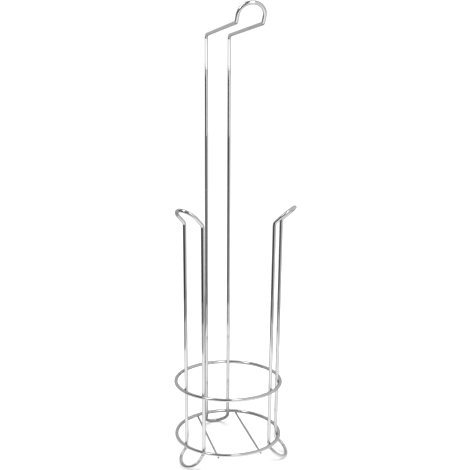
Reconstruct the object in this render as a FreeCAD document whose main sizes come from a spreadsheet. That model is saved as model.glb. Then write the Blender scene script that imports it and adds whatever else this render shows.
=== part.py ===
import FreeCAD, Part
import math
import os

from FreeCAD import Placement, Rotation, Vector
from Sketcher import Constraint

# Free-standing chromed wire stand for toilet rolls. One roll hangs on the arm and
# the spare rolls stand in a basket of two rings and three upright wire loops.
# +Z is up and the origin is on the floor, on the axis of the two rings.
# The mast stands at +Y and its arm reaches over the basket towards -Y.

doc = FreeCAD.newDocument("roll_stand")

# ---------------------------------------------------------------- driving sizes
# Lengths in millimetres, angles in degrees. A bend radius is to the wire's centre,
# and the corner of a bend is where its two straight runs would meet.
SIZES = [
    ("wire_diameter", 4.8, "frame wire"),
    ("leg_spacing", 32.7, "between the two legs of each loop, centre to centre"),
    ("ring_radius", 72.5, "lower ring, to the wire's centre"),
    ("ring_flare", 0.7, "how much wider the upper ring is, on the radius"),
    ("ring_above_foot_bend", 3.8, "corner of the foot bends to the lower ring's centre"),
    ("ring_rise", 78.0, "lower ring to upper ring, centre to centre"),
    ("foot_length", 25.9, "corner of the foot bend to the tip of the foot"),
    ("foot_slope", 40.0, "foot below the level"),
    ("foot_bend_radius", 7.0, ""),
    ("guard_turn", 123.9, "each guard's place round the ring, from the mast"),
    ("guard_height", 330.8, "floor to the corner of the lip bend"),
    ("lip_length", 29.7, "corner of the lip bend to the tip of the lip"),
    ("lip_slope", 47.7, "lip from the vertical"),
    ("lip_bend_radius", 8.0, ""),
    ("arm_height", 576.8, "floor to the arm wires' centres"),
    ("arm_reach", 163.8, "corner of the arm bend to corner of the stop bend"),
    ("arm_bend_radius", 5.5, ""),
    ("stop_length", 26.2, "corner of the stop bend to the top of the stop loop"),
    ("stop_slope", 35.9, "stop loop from the vertical, away from the mast"),
    ("stop_bend_radius", 6.0, ""),
    ("floor_wire_diameter", 2.8, "thin wires under the lower ring"),
    ("floor_wire_offset", 29.3, "each floor wire from the middle plane"),
    ("floor_wire_overhang", 0.8, "floor wire's end past the ring wire's centre"),
    ("floor_wire_chamfer", 0.3, "broken edge of the cut ends"),
    ("weld_gap", 0.04, "weld metal between two wires where they are closest"),
    ("weld_radius", 2.0, "bead between two frame wires"),
    ("floor_weld_radius", 1.5, "bead between the ring and a floor wire"),
]

dims = doc.addObject("Spreadsheet::Sheet", "dims")
for row, (alias, number, note) in enumerate(SIZES, start=1):
    dims.set(f"A{row}", alias)
    dims.set(f"B{row}", str(number))
    dims.set(f"C{row}", note)
    dims.setAlias(f"B{row}", alias)
doc.recompute()

# Places that more than one piece uses, as expressions on the sheet.
WIRE_RADIUS = "dims.wire_diameter / 2"
HALF_SPACING = "dims.leg_spacing / 2"
FOOT_CORNER_HEIGHT = f"({WIRE_RADIUS} + dims.foot_length * sin(dims.foot_slope * 1 deg))"
LOWER_RING_HEIGHT = f"({FOOT_CORNER_HEIGHT} + dims.ring_above_foot_bend)"
UPPER_RING_HEIGHT = f"({LOWER_RING_HEIGHT} + dims.ring_rise)"
LOWER_RING_RADIUS = "dims.ring_radius"
UPPER_RING_RADIUS = "(dims.ring_radius + dims.ring_flare)"
BETWEEN_CENTRES = "(dims.wire_diameter + dims.weld_gap)"
RINGS = {
    "lower_ring": (LOWER_RING_RADIUS, LOWER_RING_HEIGHT),
    "upper_ring": (UPPER_RING_RADIUS, UPPER_RING_HEIGHT),
}


def leg_circle(ring_radius):
    """Radius of the circle on which the legs stand, against the inside of a ring."""
    return f"({ring_radius} - {BETWEEN_CENTRES})"


def leg_out(ring_radius):
    """Distance of a loop's two legs from the rings' axis, in the loop's middle plane."""
    return f"sqrt({leg_circle(ring_radius)} ^ 2 - ({HALF_SPACING}) ^ 2)"


def value(expression):
    """What an expression on the sheet comes to, in millimetres or degrees."""
    result = dims.evalExpression(expression)
    return float(getattr(result, "Value", result))


# --------------------------------------------------------------- sketch helpers
START, END, CENTRE = 1, 2, 3
ORIGIN = -1


def origin_plane(body, role):
    for feature in body.Origin.OriginFeatures:
        if feature.Role == role:
            return feature
    raise RuntimeError(f"{body.Name} has no {role}")


def new_body(name):
    body = doc.addObject("PartDesign::Body", name)
    body.Label = name
    return body


def new_sketch(body, name, role):
    sketch = body.newObject("Sketcher::SketchObject", name)
    sketch.AttachmentSupport = [(origin_plane(body, role), "")]
    sketch.MapMode = "FlatFace"
    return sketch


def dimension(sketch, name, expression, kind, *where):
    """Add a named dimension to a sketch and bind it to the sheet."""
    amount = value(expression)
    if kind == "Angle":
        amount = math.radians(amount)
    index = sketch.addConstraint(Constraint(kind, *where, amount))
    sketch.renameConstraint(index, name)
    sketch.setExpression(f"Constraints.{name}", expression)


def reference(sketch, name, kind, *where):
    """Add a named reference dimension, which the sections at the path's ends read."""
    index = sketch.addConstraint(Constraint(kind, *where, 0))
    sketch.setDriving(index, False)
    sketch.renameConstraint(index, name)


def draw_circle(sketch, radius, centre=Vector()):
    circle = Part.Circle(centre, Vector(0, 0, 1), value(radius))
    index = sketch.addGeometry(circle)
    dimension(sketch, "wire_radius", radius, "Radius", index)
    return index


# ------------------------------------------------------------------ bent wires
# Each upright is one wire bent to a long closed loop. Its two legs are alike, so
# one leg is swept along a path drawn in its own upright plane and mirrored, and
# half turns of the same wire join the legs at the foot and at the top.
# In a path, x is the distance out from the rings' axis and y the height.


def leg_at(height):
    """The point of a leg's centre line at a height above the floor."""
    low = Vector(value(leg_out(LOWER_RING_RADIUS)), value(LOWER_RING_HEIGHT), 0)
    high = Vector(value(leg_out(UPPER_RING_RADIUS)), value(UPPER_RING_HEIGHT), 0)
    return low + (high - low) * ((value(height) - low.y) / (high.y - low.y))


def onward(point, direction, length):
    """The point at a length from another, in a direction counted from level."""
    turn = math.radians(value(direction))
    return point + Vector(math.cos(turn), math.sin(turn), 0) * value(length)


def draw_runs(sketch, points, bends):
    """Draw straight runs between points, with a tangent arc in every corner.

    Returns the numbers of the runs and of the corner points.
    """
    starts, ends, arcs = [points[0]], [], []
    for before, corner, after, bend in zip(points, points[1:], points[2:], bends):
        arriving = (corner - before).normalize()
        leaving = (after - corner).normalize()
        half_turn = arriving.getAngle(leaving) / 2
        radius = value(f"dims.{bend}")
        setback = radius * math.tan(half_turn)
        bisector = (leaving - arriving).normalize()
        middle = corner + bisector * (radius / math.cos(half_turn) - radius)
        ends.append(corner - arriving * setback)
        starts.append(corner + leaving * setback)
        arcs.append((ends[-1], middle, starts[-1], arriving.cross(leaving).z > 0))
    ends.append(points[-1])
    runs = [sketch.addGeometry(Part.LineSegment(*run)) for run in zip(starts, ends)]
    corners = []
    for index, (arc_from, middle, arc_to, turns_left) in enumerate(arcs):
        before, after = runs[index], runs[index + 1]
        arc = sketch.addGeometry(Part.Arc(arc_from, middle, arc_to))
        first, last = (START, END) if turns_left else (END, START)
        sketch.addConstraint(Constraint("Tangent", before, END, arc, first))
        sketch.addConstraint(Constraint("Tangent", arc, last, after, START))
        dimension(sketch, bends[index], f"dims.{bends[index]}", "Radius", arc)
        corner = sketch.addGeometry(Part.Point(points[index + 1]), True)
        sketch.addConstraint(Constraint("PointOnObject", corner, START, before))
        sketch.addConstraint(Constraint("PointOnObject", corner, START, after))
        corners.append(corner)
    return runs, corners


def draw_leg(body, name, corner_height, top_runs):
    """Draw one leg's path, from the foot's end to the top end.

    The leg passes through the two points where it is welded inside the rings.
    Each run above it is (name, direction, length), from corner to corner or end.
    """
    path = new_sketch(body, name, "YZ_Plane")
    path.setExpression("AttachmentOffset.Base.z", HALF_SPACING)
    foot_run = f"(dims.foot_length - {HALF_SPACING})"
    foot_corner = leg_at(FOOT_CORNER_HEIGHT)
    foot_end = onward(foot_corner, "-dims.foot_slope * 1 deg", foot_run)
    points = [foot_end, foot_corner, leg_at(corner_height)]
    for _, direction, length in top_runs:
        points.append(onward(points[-1], direction, length))
    bends = ["foot_bend_radius"] + [f"{run_name}_bend_radius" for run_name, _, _ in top_runs]
    runs, corners = draw_runs(path, points, bends)
    foot, leg = runs[:2]
    foot_corner, top_corner = corners[:2]

    for ring_name, (radius, height) in RINGS.items():
        weld = path.addGeometry(Part.Point(leg_at(height)), True)
        place = (ORIGIN, START, weld, START)
        dimension(path, f"{ring_name}_out", leg_out(radius), "DistanceX", *place)
        dimension(path, f"{ring_name}_up", height, "DistanceY", *place)
        path.addConstraint(Constraint("PointOnObject", weld, START, leg))

    place = (ORIGIN, START, foot_corner, START)
    dimension(path, "foot_corner_up", FOOT_CORNER_HEIGHT, "DistanceY", *place)
    dimension(path, "foot_direction", "180 deg - dims.foot_slope * 1 deg", "Angle", foot)
    dimension(path, "foot_run", foot_run, "Distance", foot_corner, START, foot, START)
    place = (ORIGIN, START, top_corner, START)
    dimension(path, "top_corner_up", corner_height, "DistanceY", *place)
    far_ends = [(corner, START) for corner in corners[2:]] + [(runs[-1], END)]
    for run, near, far, (run_name, direction, length) in zip(
        runs[2:], corners[1:], far_ends, top_runs
    ):
        dimension(path, f"{run_name}_direction", direction, "Angle", run)
        dimension(path, f"{run_name}_run", length, "Distance", near, START, *far)

    for end, place in ("foot", (foot, START)), ("top", (runs[-1], END)):
        reference(path, f"{end}_end_out", "DistanceX", ORIGIN, START, *place)
        reference(path, f"{end}_end_up", "DistanceY", ORIGIN, START, *place)
    return path


def end_section(body, name, path, end, axis, angle):
    """Draw the wire's round section square across one end of a leg."""
    section = new_sketch(body, name, "XZ_Plane")
    section.AttachmentOffset = Placement(Vector(), Rotation(axis, value(angle)))
    section.setExpression("AttachmentOffset.Base.y", f"{path.Name}.Constraints.{end}_end_up")
    section.setExpression("AttachmentOffset.Base.z", f"-{path.Name}.Constraints.{end}_end_out")
    section.setExpression("AttachmentOffset.Rotation.Angle", angle)
    circle = draw_circle(section, WIRE_RADIUS, Vector(value(HALF_SPACING), 0, 0))
    section.addConstraint(Constraint("PointOnObject", circle, CENTRE, ORIGIN))
    dimension(section, "across", HALF_SPACING, "DistanceX", ORIGIN, START, circle, CENTRE)
    return section


def half_turn(body, name, section):
    """Turn the section half round the loop's middle, from one leg to the other."""
    turn = body.newObject("PartDesign::Revolution", name)
    turn.Profile = section
    turn.ReferenceAxis = (section, ["V_Axis"])
    turn.Angle = 180


def bent_wire(name, corner_height, top_runs, place_round_ring):
    """One upright: two legs, a foot loop on the floor and a loop at the top."""
    body = new_body(name)
    path = draw_leg(body, f"{name}_leg_path", corner_height, top_runs)
    down, foot_slope = Vector(-1, 0, 0), "dims.foot_slope * 1 deg"
    up, top_slope = Vector(1, 0, 0), top_runs[-1][1]
    foot_section = end_section(body, f"{name}_foot_section", path, "foot", down, foot_slope)
    top_section = end_section(body, f"{name}_top_section", path, "top", up, top_slope)
    leg = body.newObject("PartDesign::AdditivePipe", f"{name}_leg")
    leg.Profile = foot_section
    leg.Spine = (path, [""])
    half_turn(body, f"{name}_foot_loop", foot_section)
    half_turn(body, f"{name}_top_loop", top_section)
    other_leg = body.newObject("PartDesign::Mirrored", f"{name}_other_leg")
    other_leg.Originals = [leg]
    other_leg.MirrorPlane = (origin_plane(body, "YZ_Plane"), [""])
    body.Tip = other_leg
    turn = Rotation(Vector(0, 0, 1), value(place_round_ring))
    body.Placement = Placement(Vector(), turn)
    body.setExpression("Placement.Rotation.Angle", place_round_ring)
    return body


# The mast: its legs bend level over the basket as the arm, and the arm's end is
# bent up as a stop that keeps the roll on.
ARM = ("arm", "180 deg", "dims.arm_reach")
STOP = ("stop", "90 deg + dims.stop_slope * 1 deg", f"dims.stop_length - {HALF_SPACING}")
mast = bent_wire("mast_wire", "dims.arm_height", [ARM, STOP], "0 deg")

# The guards: lower loops that hold the stack of spare rolls, with lips bent outward.
LIP = ("lip", "90 deg - dims.lip_slope * 1 deg", f"dims.lip_length - {HALF_SPACING}")
LEFT = "dims.guard_turn * 1 deg"
RIGHT = "360 deg - dims.guard_turn * 1 deg"
left_guard = bent_wire("left_guard_wire", "dims.guard_height", [LIP], LEFT)
right_guard = bent_wire("right_guard_wire", "dims.guard_height", [LIP], RIGHT)

# ----------------------------------------------------------------------- rings
# Each ring is one wire rolled to a circle and butt welded. The upper one is a little
# wider, so the uprights lean outward.


def ring(name):
    radius, height = RINGS[name]
    torus = doc.addObject("Part::Torus", name)
    torus.Label = name
    torus.setExpression("Radius1", radius)
    torus.setExpression("Radius2", WIRE_RADIUS)
    torus.setExpression("Placement.Base.z", height)
    return torus


lower_ring = ring("lower_ring")
upper_ring = ring("upper_ring")

# ----------------------------------------------------------------- floor wires
# Two thin straight wires under the lower ring carry the lowest roll. They are cut to
# length, and the edges of the cut ends are broken.
FLOOR_WIRE_RADIUS = "dims.floor_wire_diameter / 2"
FLOOR_WIRE_HEIGHT = f"{LOWER_RING_HEIGHT} - {WIRE_RADIUS} - dims.weld_gap - {FLOOR_WIRE_RADIUS}"
RING_CROSSING = f"sqrt({LOWER_RING_RADIUS} ^ 2 - dims.floor_wire_offset ^ 2)"


def floor_wire(name, side):
    body = new_body(name)
    section = new_sketch(body, f"{name}_section", "XZ_Plane")
    circle = draw_circle(section, FLOOR_WIRE_RADIUS)
    section.addConstraint(Constraint("Coincident", circle, CENTRE, ORIGIN, START))
    pad = body.newObject("PartDesign::Pad", f"{name}_length")
    pad.Profile = section
    pad.Midplane = True
    pad.setExpression("Length", f"2 * ({RING_CROSSING} + dims.floor_wire_overhang)")
    doc.recompute()
    rims = [
        f"Edge{index}"
        for index, edge in enumerate(pad.Shape.Edges, start=1)
        if isinstance(edge.Curve, Part.Circle)
    ]
    chamfer = body.newObject("PartDesign::Chamfer", f"{name}_broken_edges")
    chamfer.Base = (pad, rims)
    chamfer.setExpression("Size", "dims.floor_wire_chamfer")
    body.setExpression("Placement.Base.x", f"{side} * dims.floor_wire_offset")
    body.setExpression("Placement.Base.z", FLOOR_WIRE_HEIGHT)
    return body


left_floor_wire = floor_wire("left_floor_wire", -1)
right_floor_wire = floor_wire("right_floor_wire", 1)

# ----------------------------------------------------------------------- welds
# Every crossing of two wires is resistance welded. A small bead of metal is left in
# the crevice round the contact, and it is what joins one wire to the other.


def beads(name, places, radius, wires):
    """A bead at each place: a ball with the wires cut out of it."""
    balls = []
    for number, place in enumerate(places, start=1):
        ball = doc.addObject("Part::Sphere", f"{name}_ball_{number}")
        ball.setExpression("Radius", radius)
        ball.setExpression("Placement", place)
        balls.append(ball)
    group = doc.addObject("Part::Compound", f"{name}_balls")
    group.Links = balls
    steel = doc.addObject("Part::Compound", f"{name}_wires")
    steel.Links = wires
    cut = doc.addObject("Part::Cut", name)
    cut.Label = name
    cut.Base = group
    cut.Tool = steel
    return cut


def leg_welds(ring_name):
    """Beads between a ring and the six legs inside it, each ball's poles in the wires."""
    radius, height = RINGS[ring_name]
    contact = f"({leg_circle(radius)} + {BETWEEN_CENTRES} / 2)"
    half_spread = f"asin({HALF_SPACING} / {leg_circle(radius)})"
    places = []
    for middle in "0 deg", LEFT, RIGHT:
        for side in "-", "+":
            turn = f"({middle} {side} {half_spread})"
            centre = f"vector(-sin({turn}) * {contact}; cos({turn}) * {contact}; {height})"
            along_ring = f"vector(cos({turn}); sin({turn}); 0)"
            places.append(f"placement({centre}; {along_ring}; 90)")
    wires = [doc.getObject(ring_name), mast, left_guard, right_guard]
    return beads(f"{ring_name}_welds", places, "dims.weld_radius", wires)


lower_ring_welds = leg_welds("lower_ring")
upper_ring_welds = leg_welds("upper_ring")

UNDER_RING = f"{LOWER_RING_HEIGHT} - {BETWEEN_CENTRES} / 2"
crossings = [
    f"vector({side} * dims.floor_wire_offset; {end} * {RING_CROSSING}; {UNDER_RING})"
    for side in (-1, 1)
    for end in (-1, 1)
]
floor_wire_welds = beads(
    "floor_wire_welds",
    [f"placement({crossing}; rotation(0; 0; 0))" for crossing in crossings],
    "dims.floor_weld_radius",
    [lower_ring, left_floor_wire, right_floor_wire],
)

# ------------------------------------------------------------- check and write
NODES = [
    mast,
    left_guard,
    right_guard,
    lower_ring,
    upper_ring,
    left_floor_wire,
    right_floor_wire,
    lower_ring_welds,
    upper_ring_welds,
    floor_wire_welds,
]

doc.recompute()
failed = [item.Name for item in doc.Objects if {"Invalid", "Error"} & set(item.State)]
if failed:
    raise RuntimeError(f"these objects failed: {failed}")
for node in NODES:
    if node.Shape.isNull() or not node.Shape.isValid():
        raise RuntimeError(f"{node.Label} has no valid shape")

os.makedirs("parts", exist_ok=True)
for node in NODES:
    node.Shape.exportStep(f"parts/{node.Label}.step")
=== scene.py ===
import math

import bpy
import numpy as np
from mathutils import Matrix, Vector


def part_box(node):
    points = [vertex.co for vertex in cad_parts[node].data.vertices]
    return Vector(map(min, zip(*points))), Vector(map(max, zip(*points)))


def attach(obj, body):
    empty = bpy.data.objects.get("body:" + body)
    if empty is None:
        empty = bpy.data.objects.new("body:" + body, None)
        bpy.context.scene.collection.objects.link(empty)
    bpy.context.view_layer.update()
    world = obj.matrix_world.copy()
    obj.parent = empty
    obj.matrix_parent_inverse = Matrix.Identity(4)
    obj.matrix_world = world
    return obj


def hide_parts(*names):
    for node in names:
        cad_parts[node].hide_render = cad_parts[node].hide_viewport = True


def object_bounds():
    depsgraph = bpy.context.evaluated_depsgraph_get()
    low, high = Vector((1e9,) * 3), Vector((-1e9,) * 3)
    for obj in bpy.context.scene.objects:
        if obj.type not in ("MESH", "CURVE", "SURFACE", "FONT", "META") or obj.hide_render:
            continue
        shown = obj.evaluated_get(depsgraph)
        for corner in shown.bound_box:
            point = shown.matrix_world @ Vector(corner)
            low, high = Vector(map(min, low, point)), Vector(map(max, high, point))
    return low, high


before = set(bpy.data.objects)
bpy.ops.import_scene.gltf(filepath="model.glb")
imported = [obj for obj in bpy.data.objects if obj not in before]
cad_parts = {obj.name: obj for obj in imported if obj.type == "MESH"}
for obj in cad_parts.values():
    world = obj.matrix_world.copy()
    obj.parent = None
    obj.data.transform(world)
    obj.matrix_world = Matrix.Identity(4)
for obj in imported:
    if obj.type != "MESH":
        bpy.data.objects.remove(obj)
cad_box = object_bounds()

# ---------------------------------------------------------------------- mast
# One 4.8 mm steel wire bent to a closed loop: a foot loop on the floor, two legs
# inside both rings, a level arm for the roll, and an upturned loop that stops it.
# Its ends are butt welded, and the whole stand is polished and chromed as one.

wire = 0.0048                  # diameter, in metres as all lengths are
hair = 0.00004                 # weld metal between two wires where they are closest
foot_length = 0.0259           # corner of the foot bend to the tip of the foot
foot_slope = 40                # below the level, in degrees as all turns are
foot_bend = 0.007              # radius to the wire's middle, as on every bend
arm_height = 0.5768            # floor to the middle of the arm's wires
arm_reach = 0.1638             # corner of the arm bend to corner of the stop bend
arm_bend = 0.0055
stop_length = 0.0262           # corner of the stop bend to the top of the stop loop
stop_slope = 35.9              # from the vertical, away from the mast
stop_bend = 0.006


def ring_of(node):
    """A ring's radius and height, to the middle of its wire."""
    low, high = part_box(node)
    return (high[0] - low[0] - wire) / 2, (high[2] + low[2]) / 2


mast_low, mast_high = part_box("mast_wire")
half_spacing = (mast_high[0] - mast_low[0] - wire) / 2
lower_radius, lower_height = ring_of("lower_ring")
upper_radius, upper_height = ring_of("upper_ring")


def leg_out(ring_radius):
    """How far out a pair of legs stands, against the inside of a ring."""
    return math.sqrt((ring_radius - wire - hair) ** 2 - half_spacing ** 2)


def leg_at(height):
    """The point (out, up) on a leg at a height."""
    share = (height - lower_height) / (upper_height - lower_height)
    out = leg_out(lower_radius) + share * (leg_out(upper_radius) - leg_out(lower_radius))
    return np.array([out, height])


def heading(degrees):
    """The way (out, up) that is so many degrees above straight out."""
    turn = math.radians(degrees)
    return np.array([math.cos(turn), math.sin(turn)])


def straight(start, end, step=0.004):
    """Points along a straight run, without its end."""
    count = max(2, math.ceil(np.linalg.norm(end - start) / step))
    return [start + (end - start) * share for share in np.arange(count) / count]


def arc(start, middle, end, count=14):
    """Points round an arc from start to just before end, through middle."""
    chord = end - start
    rise = middle - (start + end) / 2
    half = np.linalg.norm(chord) / 2
    sagitta = np.linalg.norm(rise)
    radius = (half ** 2 + sagitta ** 2) / (2 * sagitta)
    centre = middle - rise / sagitta * radius
    sweep = 2 * math.atan2(half, radius - sagitta)
    across = (middle - centre) / radius
    along = chord / (2 * half)
    turns = (np.arange(count) / count - 0.5) * sweep
    return [centre + radius * (math.cos(t) * across + math.sin(t) * along) for t in turns]


def bent_path(corners, bends):
    """Straight runs between corners, with a tangent arc of its own radius in each."""
    points = []
    start = corners[0]
    for before, corner, after, radius in zip(corners, corners[1:], corners[2:], bends):
        arriving = (corner - before) / np.linalg.norm(corner - before)
        leaving = (after - corner) / np.linalg.norm(after - corner)
        half_turn = math.acos(np.clip(arriving @ leaving, -1, 1)) / 2
        inward = (leaving - arriving) / np.linalg.norm(leaving - arriving)
        first = corner - arriving * radius * math.tan(half_turn)
        last = corner + leaving * radius * math.tan(half_turn)
        middle = corner + inward * (radius / math.cos(half_turn) - radius)
        points += straight(start, first) + arc(first, middle, last)
        start = last
    return points + straight(start, corners[-1]) + [corners[-1]]


def closed_loop(top_corners, top_bends, steps=36):
    """The whole loop's centre line: one leg up, over the top, the other down."""
    foot_corner = leg_at(wire / 2 + foot_length * math.sin(math.radians(foot_slope)))
    foot_way = heading(-foot_slope)
    foot_end = foot_corner + foot_way * (foot_length - half_spacing)
    corners = [foot_end, foot_corner] + top_corners
    leg = bent_path(corners, [foot_bend] + top_bends)
    top_way = (corners[-1] - corners[-2]) / np.linalg.norm(corners[-1] - corners[-2])

    def half_turn(centre, way, side):
        turns = math.pi * np.arange(1, steps) / steps
        across = half_spacing * np.cos(turns) * side
        along = half_spacing * np.sin(turns)
        return [(x, *(centre + way * reach)) for x, reach in zip(across, along)]

    line = [(half_spacing, *point) for point in leg]
    line += half_turn(corners[-1], top_way, 1)
    line += [(-half_spacing, *point) for point in reversed(leg)]
    line += half_turn(corners[0], foot_way, -1)
    return np.array(line)


def as_piece(name, points, faces):
    """A smooth shaded piece from its points and faces."""
    mesh = bpy.data.meshes.new(name)
    mesh.from_pydata(points.tolist(), [], faces)
    mesh.polygons.foreach_set("use_smooth", [True] * len(faces))
    mesh.update()
    piece = bpy.data.objects.new(name, mesh)
    bpy.context.collection.objects.link(piece)
    return piece


def drawn_wire(name, line, diameters, closed=True, sides=28):
    """A round wire along a centre line, with its length and girth as texture places."""
    count = len(line)
    ahead = np.roll(line, -1, axis=0) - line
    if not closed:
        ahead[-1] = ahead[-2]
    behind = np.roll(ahead, 1, axis=0)
    if not closed:
        behind[0] = ahead[0]
    tangents = ahead / np.linalg.norm(ahead, axis=1)[:, None]
    tangents += behind / np.linalg.norm(behind, axis=1)[:, None]
    tangents /= np.linalg.norm(tangents, axis=1)[:, None]
    aslant = (0.3, 0.5, 0.8)
    spoke = np.cross(tangents[0], aslant)
    spokes = []
    for tangent in tangents:
        spoke = spoke - tangent * (spoke @ tangent)
        spoke /= np.linalg.norm(spoke)
        spokes.append(spoke)
    first = np.array(spokes)
    second = np.cross(tangents, first)
    if closed:
        carried = spoke - tangents[0] * (spoke @ tangents[0])
        twist = math.atan2(carried @ second[0], carried @ first[0])
        untwist = (-twist * np.arange(count) / count)[:, None]
        first = first * np.cos(untwist) + second * np.sin(untwist)
        second = np.cross(tangents, first)
    turns = (2 * math.pi * np.arange(sides) / sides)[None, :, None]
    rim = first[:, None] * np.cos(turns) + second[:, None] * np.sin(turns)
    radii = np.broadcast_to(np.asarray(diameters) / 2, count)[:, None, None]
    points = (line[:, None] + rim * radii).reshape(-1, 3)
    points = np.clip(points, cad_box[0], cad_box[1])
    run = np.concatenate([[0], np.cumsum(np.linalg.norm(ahead, axis=1))])
    girth = 2 * math.pi * float(radii.max()) / sides
    faces = []
    places = []
    for here in range(count if closed else count - 1):
        there = (here + 1) % count
        for side in range(sides):
            beside = (side + 1) % sides
            face = (here, side), (here, beside), (there, beside), (there, side)
            faces.append([section * sides + corner for section, corner in face])
            near, far = run[here], run[here + 1]
            left, right = side * girth, (side + 1) * girth
            places += [(near, left), (near, right), (far, right), (far, left)]
    if not closed:
        first_end = list(range(sides))[::-1]
        last_end = list(range((count - 1) * sides, count * sides))
        faces += [first_end, last_end]
        places += [(0, 0)] * (2 * sides)
    piece = as_piece(name, points, faces)
    layer = piece.data.uv_layers.new(name="wire")
    layer.data.foreach_set("uv", np.array(places, dtype=np.float32).ravel())
    return piece


class Amount:
    """A node's output, on which plain arithmetic adds Math nodes."""

    def __init__(self, recipe, socket):
        self.recipe, self.socket = recipe, socket

    def worked(self, operation, first, second):
        return self.recipe.node("ShaderNodeMath", {"operation": operation}, {0: first, 1: second})

    def __add__(self, other):
        return self.worked("ADD", self, other)

    def __sub__(self, other):
        return self.worked("SUBTRACT", self, other)

    def __rsub__(self, other):
        return self.worked("SUBTRACT", other, self)

    def __mul__(self, other):
        return self.worked("MULTIPLY", self, other)

    __radd__ = __add__
    __rmul__ = __mul__


class Finish:
    """A material being made up, with one shader."""

    def __init__(self, name):
        self.material = bpy.data.materials.new(name)
        self.material.use_nodes = True
        self.tree = self.material.node_tree
        self.shader = self.tree.nodes["Principled BSDF"]

    def node(self, kind, settings, inputs, output=0):
        """A node of a kind: its settings first, then what its sockets are given."""
        made = self.tree.nodes.new(kind)
        for name, setting in settings.items():
            if name == "stops":
                self.set_stops(made.color_ramp.elements, setting)
            else:
                setattr(made, name, setting)
        for name, given in inputs.items():
            self.give(made.inputs[name], given)
        return Amount(self, made.outputs[output])

    def set_stops(self, stops, colours):
        """Give a colour ramp one stop for each place and colour."""
        stops.remove(stops[1])
        for place, colour in colours:
            stops.new(place).color = colour
        stops.remove(stops[0])

    def give(self, socket, given):
        if isinstance(given, Amount):
            self.tree.links.new(given.socket, socket)
        else:
            socket.default_value = given

    def put(self, **given):
        for name, amount in given.items():
            self.give(self.shader.inputs[name.replace("_", " ").title()], amount)


plate_tint = (1, 1, 1.008)
dull_tint = (0.86, 0.86, 0.87)
die_line_grain = (30, 5200, 1)  # along the wire, and round it
peel_grain = 420
wipe_grain = 38
pit_grain = 2600
pit_starts = 0.68              # only the highest spots of the noise are pits
pit_is_full = 0.76
peel_height = 0.8
pit_depth = 0.5
relief_share = 0.2
relief_depth = 0.00002
dull_where_wiped = 0.9
dull_where_pitted = 0.25
dull_nowhere_below = 0.3
blur_where_wiped = 0.05
blur_on_die_lines = 0.02
blur_where_pitted = 0.15


def chrome(name, shade, haze, die_marks):
    """Bright plate over drawn wire: faint die lines, orange peel, wipe marks and pits."""
    plate = [shade * tint for tint in plate_tint] + [1]
    dull_plate = [shade * tint for tint in dull_tint] + [1]
    finish = Finish(name)
    along = finish.node("ShaderNodeUVMap", {"uv_map": "wire"}, {})
    space = finish.node("ShaderNodeTexCoord", {}, {}, "Object")
    drawn = finish.node("ShaderNodeMapping", {}, {"Vector": along, "Scale": die_line_grain})

    def noise(vector, scale, detail):
        given = {"Vector": vector, "Scale": scale, "Detail": detail}
        return finish.node("ShaderNodeTexNoise", {}, given)

    die_lines = noise(drawn, scale=1, detail=3)
    peel = noise(space, peel_grain, detail=2)
    wiped = noise(space, wipe_grain, detail=4)
    pitted = finish.node(
        "ShaderNodeMapRange",
        {"interpolation_type": "SMOOTHSTEP"},
        {"Value": noise(space, pit_grain, detail=1), "From Min": pit_starts, "From Max": pit_is_full},
    )
    relief = die_lines * die_marks + peel * peel_height - pitted * pit_depth
    dulled = wiped * dull_where_wiped + pitted * dull_where_pitted - dull_nowhere_below
    blurred = wiped * blur_where_wiped + die_lines * blur_on_die_lines + pitted * blur_where_pitted
    finish.put(
        base_color=finish.node(
            "ShaderNodeMix", {"data_type": "RGBA"}, {0: dulled, 6: plate, 7: dull_plate}, output=2
        ),
        metallic=1.0,
        roughness=blurred + haze,
        normal=finish.node(
            "ShaderNodeBump",
            {},
            {"Strength": relief_share, "Distance": relief_depth, "Height": relief},
        ),
    )
    return finish.material


def hang_on(piece, material, slot_name, *nodes):
    """Give a piece its finish and let it stand for its CAD nodes."""
    piece.data.materials.append(material)
    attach(piece, "root")
    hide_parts(*nodes)


frame_chrome = chrome("frame_chrome", shade=0.66, haze=0.0, die_marks=1.0)
arm_corner = leg_at(arm_height)
stop_corner = arm_corner + heading(180) * arm_reach
stop_end = stop_corner + heading(90 + stop_slope) * (stop_length - half_spacing)
mast_line = closed_loop([arm_corner, stop_corner, stop_end], [arm_bend, stop_bend])
hang_on(drawn_wire("mast", mast_line, wire), frame_chrome, "frame_wire", "mast_wire")

# --------------------------------------------------------------------- guards
# Two lower closed loops of the same wire, a third of the way round the basket on
# either side. Their lips are bent outward so that a spare roll finds its way in.

guard_turn = 123.9             # round the rings from the mast
guard_height = 0.3308          # to the corner of the lip bend
lip_length = 0.0297            # corner of the lip bend to the tip of the lip
lip_slope = 47.7               # from the vertical
lip_bend = 0.008


def turned(points, degrees):
    """Points turned round the rings' axis."""
    turn = math.radians(degrees)
    cosine = math.cos(turn)
    sine = math.sin(turn)
    return points @ np.array([[cosine, sine, 0], [-sine, cosine, 0], [0, 0, 1]])


lip_corner = leg_at(guard_height)
lip_end = lip_corner + heading(90 - lip_slope) * (lip_length - half_spacing)
guard_line = closed_loop([lip_corner, lip_end], [lip_bend])
for side, turn in ("left", guard_turn), ("right", -guard_turn):
    guard = drawn_wire(f"{side}_guard", turned(guard_line, turn), wire)
    hang_on(guard, frame_chrome, "frame_wire", f"{side}_guard_wire")

# ---------------------------------------------------------------------- rings
# Two wires rolled to circles and butt welded. The lower one ties the legs together
# just above the floor; the upper one is a little wider and holds the rolls upright.

ring_chrome = chrome("ring_chrome", shade=0.66, haze=0.005, die_marks=1.3)
ring_steps = 360


def ring_line(radius, height):
    """Points round the middle of a ring's wire."""
    turns = 2 * math.pi * np.arange(ring_steps) / ring_steps
    return np.stack([radius * np.cos(turns), radius * np.sin(turns), turns * 0 + height], axis=1)


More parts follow.
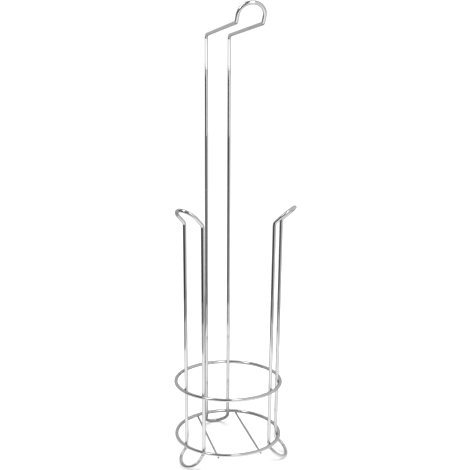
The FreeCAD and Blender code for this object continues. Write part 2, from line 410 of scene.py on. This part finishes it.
rings = {"lower_ring": (lower_radius, lower_height), "upper_ring": (upper_radius, upper_height)}
for node, (radius, height) in rings.items():
    ring = drawn_wire(f"{node}_chromed", ring_line(radius, height), wire)
    hang_on(ring, ring_chrome, "ring_wire", node)

# ---------------------------------------------------------------- floor wires
# Two thin straight wires welded under the lower ring, which carry the lowest roll.
# They are sheared to length, and tumbling has rounded their cut ends.

floor_chrome = chrome("floor_chrome", shade=0.60, haze=0.01, die_marks=1.0)
end_rounding = 0.0003
rounding_step = 15             # degrees between the rings of points round a cut end
plain_from = 0.001             # from each end, past the rounding
plain_points = 40
floor_wires = {}

for side in "left", "right":
    low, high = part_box(f"{side}_floor_wire")
    thin = high[0] - low[0]
    across = (low[0] + high[0]) / 2
    height = (low[2] + high[2]) / 2
    floor_wires[side] = across, height, thin
    eased = np.radians(np.arange(0, 90 + rounding_step, rounding_step))
    from_end = end_rounding * (1 - np.cos(eased))
    drawn_in = end_rounding * (1 - np.sin(eased))
    middle = np.linspace(low[1] + plain_from, high[1] - plain_from, plain_points)
    reach = np.concatenate([low[1] + from_end, middle, high[1] - from_end[::-1]])
    girth = np.concatenate([thin - 2 * drawn_in, middle * 0 + thin, thin - 2 * drawn_in[::-1]])
    run = np.stack([reach * 0 + across, reach, reach * 0 + height], axis=1)
    floor_wire = drawn_wire(f"{side}_floor_wire_chromed", run, girth, closed=False)
    hang_on(floor_wire, floor_chrome, "floor_wire", f"{side}_floor_wire")

# ---------------------------------------------------------------- weld beads
# Resistance welds where two wires cross: the wires are pressed together and the hot
# metal is squeezed out into a small fillet round the touch, which the plate covers.

# The beads' plate is given a far darker colour than the wires': painted shade where the wires meet.
painted_shade_weld_chrome = chrome("painted_shade_weld_chrome", shade=0.26, haze=0.08, die_marks=0.0)
sunk = 0.00002                 # how far a bead lies under the wires' own surface
leg_fillet = 0.0014
leg_reach = 0.003
floor_wire_fillet = 0.0008
floor_wire_reach = 0.0017
halvings = 24                  # of the stretch in which a bead's surface is felt for


def from_straight(points, on_line, way, radius):
    """How far points are outside a straight wire."""
    apart = points - on_line
    return np.linalg.norm(apart - (apart @ way)[..., None] * way, axis=-1) - radius


def from_ring(points, radius, height):
    """How far points are outside one of the rings."""
    out = np.hypot(points[..., 0], points[..., 1]) - radius
    return np.hypot(out, points[..., 2] - height) - wire / 2


def bead(centre, pressed_way, outside_one, outside_other, fillet, reach):
    """One fillet: its surface is felt for from the touch outward, in every direction."""
    rows = 22
    columns = 40
    aslant = (0.1, 0.2, 1)
    side = np.cross(pressed_way, aslant)
    side /= np.linalg.norm(side)
    other_side = np.cross(pressed_way, side)
    leans = math.pi * np.arange(1, rows) / rows
    turns = 2 * math.pi * np.arange(columns) / columns
    lean, turn = np.meshgrid(leans, turns, indexing="ij")
    ways = (
        np.cos(lean)[..., None] * pressed_way
        + (np.sin(lean) * np.cos(turn))[..., None] * side
        + (np.sin(lean) * np.sin(turn))[..., None] * other_side
    ).reshape(-1, 3)
    ways = np.concatenate([ways, [pressed_way], [-pressed_way]])
    inside = np.zeros(len(ways))
    outside = np.full(len(ways), reach)
    for _ in range(halvings):
        felt = (inside + outside) / 2
        points = centre + ways * felt[:, None]
        one = outside_one(points) + sunk
        other = outside_other(points) + sunk
        shared = np.maximum(fillet - np.abs(one - other), 0) / fillet
        in_metal = np.minimum(one, other) - shared ** 2 * fillet / 4 < 0
        inside = np.where(in_metal, felt, inside)
        outside = np.where(in_metal, outside, felt)
    faces = []
    last = (rows - 2) * columns
    near_pole = (rows - 1) * columns
    far_pole = near_pole + 1
    for column in range(columns):
        beside = (column + 1) % columns
        faces.append([near_pole, column, beside])
        faces.append([far_pole, last + beside, last + column])
        for row in range(0, last, columns):
            faces.append([row + column, row + columns + column, row + columns + beside, row + beside])
    return centre + ways * inside[:, None], faces


def beads_piece(name, made, node):
    """All the beads of one CAD node as one piece."""
    points = []
    faces = []
    for bead_points, bead_faces in made:
        start = sum(len(p) for p in points)
        points.append(bead_points)
        faces += [[start + corner for corner in face] for face in bead_faces]
    hang_on(as_piece(name, np.concatenate(points), faces), painted_shade_weld_chrome, "weld_bead", node)


leg_rise = np.array([0, *(leg_at(upper_height) - leg_at(lower_height))])
leg_rise /= np.linalg.norm(leg_rise)
for node, (radius, height) in rings.items():
    made = []
    for loop_turn in 0, guard_turn, -guard_turn:
        for side in -half_spacing, half_spacing:
            on_leg, way = turned(np.array([[side, *leg_at(height)], leg_rise]), loop_turn)
            outward = on_leg * (1, 1, 0)
            outward /= np.linalg.norm(outward)
            made.append(bead(
                on_leg + outward * (wire + hair) / 2,
                outward,
                lambda points: from_straight(points, on_leg, way, wire / 2),
                lambda points: from_ring(points, radius, height),
                leg_fillet,
                leg_reach,
            ))
    beads_piece(f"{node}_beads", made, f"{node}_welds")

made = []
for across, height, thin in floor_wires.values():
    for end in -1, 1:
        crossing = np.array([across, end * math.sqrt(lower_radius ** 2 - across ** 2), height])
        made.append(bead(
            crossing + np.array([0, 0, (thin + hair) / 2]),
            np.array([0, 0, 1.0]),
            lambda points: from_straight(points, crossing, np.array([0, 1.0, 0]), thin / 2),
            lambda points: from_ring(points, lower_radius, lower_height),
            floor_wire_fillet,
            floor_wire_reach,
        ))
beads_piece("floor_wire_beads", made, "floor_wire_welds")

# ---------------------------------------------------------------------- stage
# A plain pale painted floor under an open white sky, with one soft box overhead. The
# chrome mirrors a room that is seen only in reflections: a table, walls, a ceiling, a
# band of light and two strip lights, all of glowing cloth in greys.

camera_azimuth = 255.87
floor_reach = 12.0
sky_glow = 1.18

clean_paint = (0.91, 0.91, 0.91, 1)
worn_paint = (0.88, 0.88, 0.88, 1)
spot_grain = 90
paint = Finish("floor_paint")
spots = paint.node("ShaderNodeTexNoise", {}, {"Scale": spot_grain, "Detail": 3})
paint.put(
    base_color=paint.node(
        "ShaderNodeMix", {"data_type": "RGBA"}, {0: spots, 6: clean_paint, 7: worn_paint}, output=2
    ),
    roughness=spots * 0.1 + 0.8,
)


def on_stage(name, points, faces, material, turn=0.0):
    """A thing that belongs to the studio and not to the stand."""
    mesh = bpy.data.meshes.new(name)
    mesh.from_pydata(points, [], faces)
    mesh.materials.append(material)
    piece = bpy.data.objects.new(name, mesh)
    piece.rotation_euler[2] = math.radians(turn)
    bpy.context.collection.objects.link(piece)
    return piece


signs = (-1, -1), (1, -1), (1, 1), (-1, 1)
corners = [(x * floor_reach, y * floor_reach, 0) for x, y in signs]
floor = on_stage("floor", corners, [(0, 1, 2, 3)], paint.material)
floor.visible_glossy = False


def cloth(name, tones):
    """Cloth that glows by itself. Each tone goes with its angle left of the camera."""
    made = Finish(name)
    space = made.node("ShaderNodeTexCoord", {}, {}, "Object")
    round_axis = made.node("ShaderNodeTexGradient", {"gradient_type": "RADIAL"}, {"Vector": space})
    strength = 5.0             # of the brightest cloth, so that every tone fits a ramp
    greys = [
        (0.5 - angle / 360, (tone / strength, tone / strength, tone / strength, 1))
        for angle, tone in sorted(tones.items(), reverse=True)
    ]
    shade = made.node("ShaderNodeValToRGB", {"stops": greys}, {"Fac": round_axis})
    made.put(base_color=(0, 0, 0, 1), roughness=1.0, emission_color=shade, emission_strength=strength)
    made.shader.inputs["Specular IOR Level"].default_value = 0
    return made.material


def reflected(name, left, right, inner, outer, tones):
    """A band of cloth between two (distance, height) rims, seen only in reflections."""
    count = 72
    turns = [math.radians(-left + (left - right) * n / count) for n in range(count + 1)]
    points = [(away * math.cos(t), away * math.sin(t), up) for away, up in (inner, outer) for t in turns]
    faces = [(n, n + 1, count + 2 + n, count + 1 + n) for n in range(count)]
    piece = on_stage(name, points, faces, cloth(name, tones), camera_azimuth)
    piece.visible_camera = False
    piece.visible_diffuse = False
    piece.visible_shadow = False


room_radius = 0.68
room_height = 1.5
tabletop = -0.0003             # a hair under the floor's own surface
table_reach = 0.50
low_wall_height = 0.05
table_tones = {
    180: 0.30, 150: 0.36, 115: 0.55, 85: 0.85, 55: 1.20, 20: 1.28,
    -20: 1.28, -55: 1.20, -85: 0.80, -115: 0.50, -150: 0.36, -179: 0.30,
}
skirting_tones = {
    180: 0.30, 150: 0.36, 110: 0.40, 88: 0.28, 55: 0.38, 30: 0.55, 8: 0.70,
    -20: 0.95, -55: 0.85, -85: 0.60, -115: 0.50, -150: 0.36, -179: 0.30,
}
low_wall_tones = {
    180: 0.40, 110: 0.45, 88: 0.15, 42: 0.15, 5: 0.20, -20: 0.50, -40: 0.60,
    -80: 0.50, -100: 0.60, -150: 0.45, -179: 0.40,
}
wall_tones = {
    180: 0.54, 110: 0.56, 96: 0.45, 88: 0.07, 42: 0.05, 30: 0.02, 2: 0.02, -5: 0.15,
    -20: 0.50, -40: 0.72, -80: 0.62, -100: 0.82, -150: 0.55, -179: 0.54,
}
ceiling_tones = {180: 0.85, 100: 0.75, 50: 0.48, -25: 0.48, -70: 0.75, -179: 0.85}
reflected("table", 180, -180, (0.0, tabletop), (table_reach, tabletop), table_tones)
reflected("skirting", 180, -180, (table_reach, tabletop), (room_radius, 0.0), skirting_tones)
reflected("low_wall", 180, -180, (room_radius, 0.0), (room_radius, low_wall_height), low_wall_tones)
reflected("walls", 180, -180, (room_radius, low_wall_height), (room_radius, room_height), wall_tones)
reflected("ceiling", 180, -180, (room_radius, room_height), (0.0, room_height), ceiling_tones)

# The band of light hangs in front of the walls at the height of the arm, with a dimmer
# edge under it, and the two strip lights stand a little nearer than the band.
band_radius = 0.64
band_bottom = 0.572
band_top = 0.65
band_tones = {115: 0.9, 70: 1.2, 30: 1.6, -20: 1.6, -60: 1.3, -85: 0.6, -115: 0.5}
reflected("light_band", 115, -115, (band_radius, band_bottom), (band_radius, band_top), band_tones)

half_radius = 0.65
half_bottom = 0.555
half_top = 0.575
reflected("half_light", 115, -115, (half_radius, half_bottom), (half_radius, half_top), {0: 0.45})

strip_radius = 0.63
left_sides = 63, 45
right_sides = -9, -31
right_foot = 0.42
right_waist = 0.57
reflected("left_strip", *left_sides, (strip_radius, band_top), (strip_radius, room_height), {0: 5.0})
reflected("right_strip", *right_sides, (strip_radius, right_foot), (strip_radius, right_waist), {0: 2.2})
reflected("right_strip_top", *right_sides, (strip_radius, band_top), (strip_radius, room_height), {0: 3.0})

world = bpy.data.worlds.new("sky")
world.use_nodes = True
bpy.context.scene.world = world
world.node_tree.nodes["Background"].inputs["Color"].default_value = (1, 1, 1, 1)
world.node_tree.nodes["Background"].inputs["Strength"].default_value = sky_glow

soft_box_size = 1.2
soft_box_watts = 20
soft_box_place = (0.25, 0.1, 1.9)
soft_box = bpy.data.lights.new("soft_box", "AREA")
soft_box.size = soft_box_size
soft_box.energy = soft_box_watts
hung = bpy.data.objects.new("soft_box", soft_box)
hung.location = soft_box_place
bpy.context.collection.objects.link(hung)

# --------------------------------------------------------------------- camera
# About a metre from the stand, a little to the left of the arm and four fifths of the
# stand's height up, looking down by ten degrees.

stand_off = 0.97594
camera_height = 0.48425
tilt = 10.24
swing = 0.475                  # to the right of the rings' axis
lean = 0.446                   # its right side up
sensor_width = 36              # millimetres, as the lens is
lens_ratio = 1.55389           # focal length over sensor width

lens = bpy.data.cameras.new("camera")
lens.sensor_width = sensor_width
lens.lens = sensor_width * lens_ratio
camera = bpy.data.objects.new("camera", lens)
bpy.context.collection.objects.link(camera)
bpy.context.scene.camera = camera
facing = math.radians(camera_azimuth - 180 - swing)
down = math.radians(tilt)
forward = Vector((math.cos(facing) * math.cos(down), math.sin(facing) * math.cos(down), -math.sin(down)))
level_right = Vector((math.sin(facing), -math.cos(facing), 0))
level_up = level_right.cross(forward)
roll = math.radians(lean)
right = level_right * math.cos(roll) + level_up * math.sin(roll)
up = level_up * math.cos(roll) - level_right * math.sin(roll)
standing = math.radians(camera_azimuth)
place = Vector((stand_off * math.cos(standing), stand_off * math.sin(standing), camera_height))
camera.matrix_world = Matrix((
    (right.x, up.x, -forward.x, place.x),
    (right.y, up.y, -forward.y, place.y),
    (right.z, up.z, -forward.z, place.z),
    (0, 0, 0, 1),
))

bpy.context.scene.view_settings.view_transform = "Standard"
